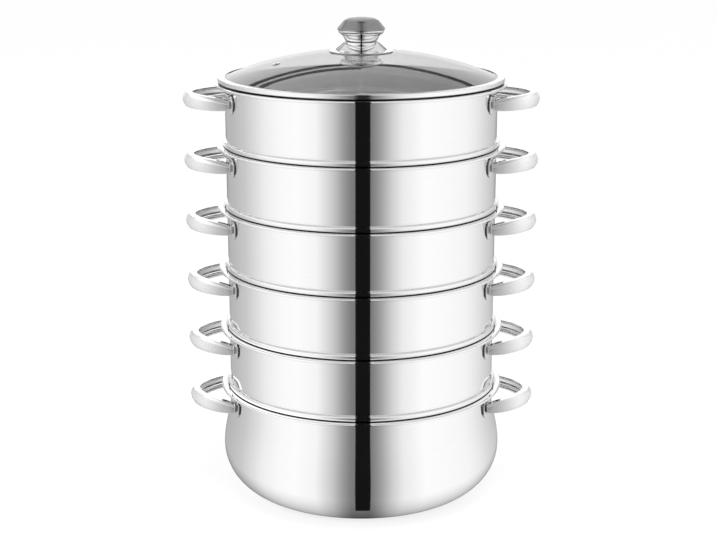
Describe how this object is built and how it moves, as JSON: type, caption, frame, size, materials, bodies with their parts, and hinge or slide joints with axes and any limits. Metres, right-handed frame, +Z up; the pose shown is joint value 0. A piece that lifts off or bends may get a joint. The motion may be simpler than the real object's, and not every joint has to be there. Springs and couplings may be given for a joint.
{
  "type": "stacking steamer pot",
  "caption": "Stacking steamer: bellied stainless pot, round tiers with loop handles and perforated plates, and a domed glass lid with a turned knob.",
  "frame": {"origin": "centre of the pot's flat base, on the surface it stands on", "axes": "+Z up along the stack's axis; handles along +X and -X; front towards -Y"},
  "size_m": [0.368, 0.299, 0.5017],
  "materials": {
    "polished_steel": "mirror-polished stainless steel",
    "handle_steel": "polished cast stainless steel",
    "plate_steel": "satin stainless steel",
    "band_steel": "polished stainless steel",
    "knob_steel": "polished stainless steel",
    "lid_glass": "clear tempered glass",
    "seal_rubber": "translucent silicone"
  },
  "bodies": {
    "pot": {"pot_shell": "polished_steel", "pot_handle_left": "handle_steel", "pot_handle_right": "handle_steel", "pot_handle_left_feet": "handle_steel", "pot_handle_right_feet": "handle_steel"},
    "tier_1": {"tier_1_shell": "polished_steel", "tier_1_handle_left": "handle_steel", "tier_1_handle_right": "handle_steel", "tier_1_handle_left_feet": "handle_steel", "tier_1_handle_right_feet": "handle_steel"},
    "tier_1_plate": {"tier_1_steam_plate": "plate_steel"},
    "tier_2": {"tier_2_shell": "polished_steel", "tier_2_handle_left": "handle_steel", "tier_2_handle_right": "handle_steel", "tier_2_handle_left_feet": "handle_steel", "tier_2_handle_right_feet": "handle_steel"},
    "tier_2_plate": {"tier_2_steam_plate": "plate_steel"},
    "tier_3": {"tier_3_shell": "polished_steel", "tier_3_handle_left": "handle_steel", "tier_3_handle_right": "handle_steel", "tier_3_handle_left_feet": "handle_steel", "tier_3_handle_right_feet": "handle_steel"},
    "tier_3_plate": {"tier_3_steam_plate": "plate_steel"},
    "tier_4": {"tier_4_shell": "polished_steel", "tier_4_handle_left": "handle_steel", "tier_4_handle_right": "handle_steel", "tier_4_handle_left_feet": "handle_steel", "tier_4_handle_right_feet": "handle_steel"},
    "tier_4_plate": {"tier_4_steam_plate": "plate_steel"},
    "tier_5": {"tier_5_shell": "polished_steel", "tier_5_handle_left": "handle_steel", "tier_5_handle_right": "handle_steel", "tier_5_handle_left_feet": "handle_steel", "tier_5_handle_right_feet": "handle_steel"},
    "tier_5_plate": {"tier_5_steam_plate": "plate_steel"},
    "lid": {"lid_glass": "lid_glass", "lid_rim_band": "band_steel", "lid_vent_eyelet": "band_steel", "knob_upper_gasket": "seal_rubber", "knob_skirt": "knob_steel", "knob_neck": "knob_steel", "knob_collar": "knob_steel", "knob_cap": "knob_steel", "knob_lower_gasket": "seal_rubber", "knob_inner_washer": "band_steel", "knob_screw": "band_steel"}
  },
  "joints": [
    {"name": "tier_1_lift", "type": "slide", "parent": "pot", "child": "tier_1", "axis": [0, 0, 1], "range_m": [0, 0.08]},
    {"name": "tier_1_plate_lift", "type": "slide", "parent": "tier_1", "child": "tier_1_plate", "axis": [0, 0, 1], "range_m": [0, 0.04]},
    {"name": "tier_2_lift", "type": "slide", "parent": "tier_1", "child": "tier_2", "axis": [0, 0, 1], "range_m": [0, 0.08]},
    {"name": "tier_2_plate_lift", "type": "slide", "parent": "tier_2", "child": "tier_2_plate", "axis": [0, 0, 1], "range_m": [0, 0.04]},
    {"name": "tier_3_lift", "type": "slide", "parent": "tier_2", "child": "tier_3", "axis": [0, 0, 1], "range_m": [0, 0.08]},
    {"name": "tier_3_plate_lift", "type": "slide", "parent": "tier_3", "child": "tier_3_plate", "axis": [0, 0, 1], "range_m": [0, 0.04]},
    {"name": "tier_4_lift", "type": "slide", "parent": "tier_3", "child": "tier_4", "axis": [0, 0, 1], "range_m": [0, 0.08]},
    {"name": "tier_4_plate_lift", "type": "slide", "parent": "tier_4", "child": "tier_4_plate", "axis": [0, 0, 1], "range_m": [0, 0.04]},
    {"name": "tier_5_lift", "type": "slide", "parent": "tier_4", "child": "tier_5", "axis": [0, 0, 1], "range_m": [0, 0.08]},
    {"name": "tier_5_plate_lift", "type": "slide", "parent": "tier_5", "child": "tier_5_plate", "axis": [0, 0, 1], "range_m": [0, 0.04]},
    {"name": "lid_lift", "type": "slide", "parent": "tier_5", "child": "lid", "axis": [0, 0, 1], "range_m": [0, 0.12]}
  ]
}
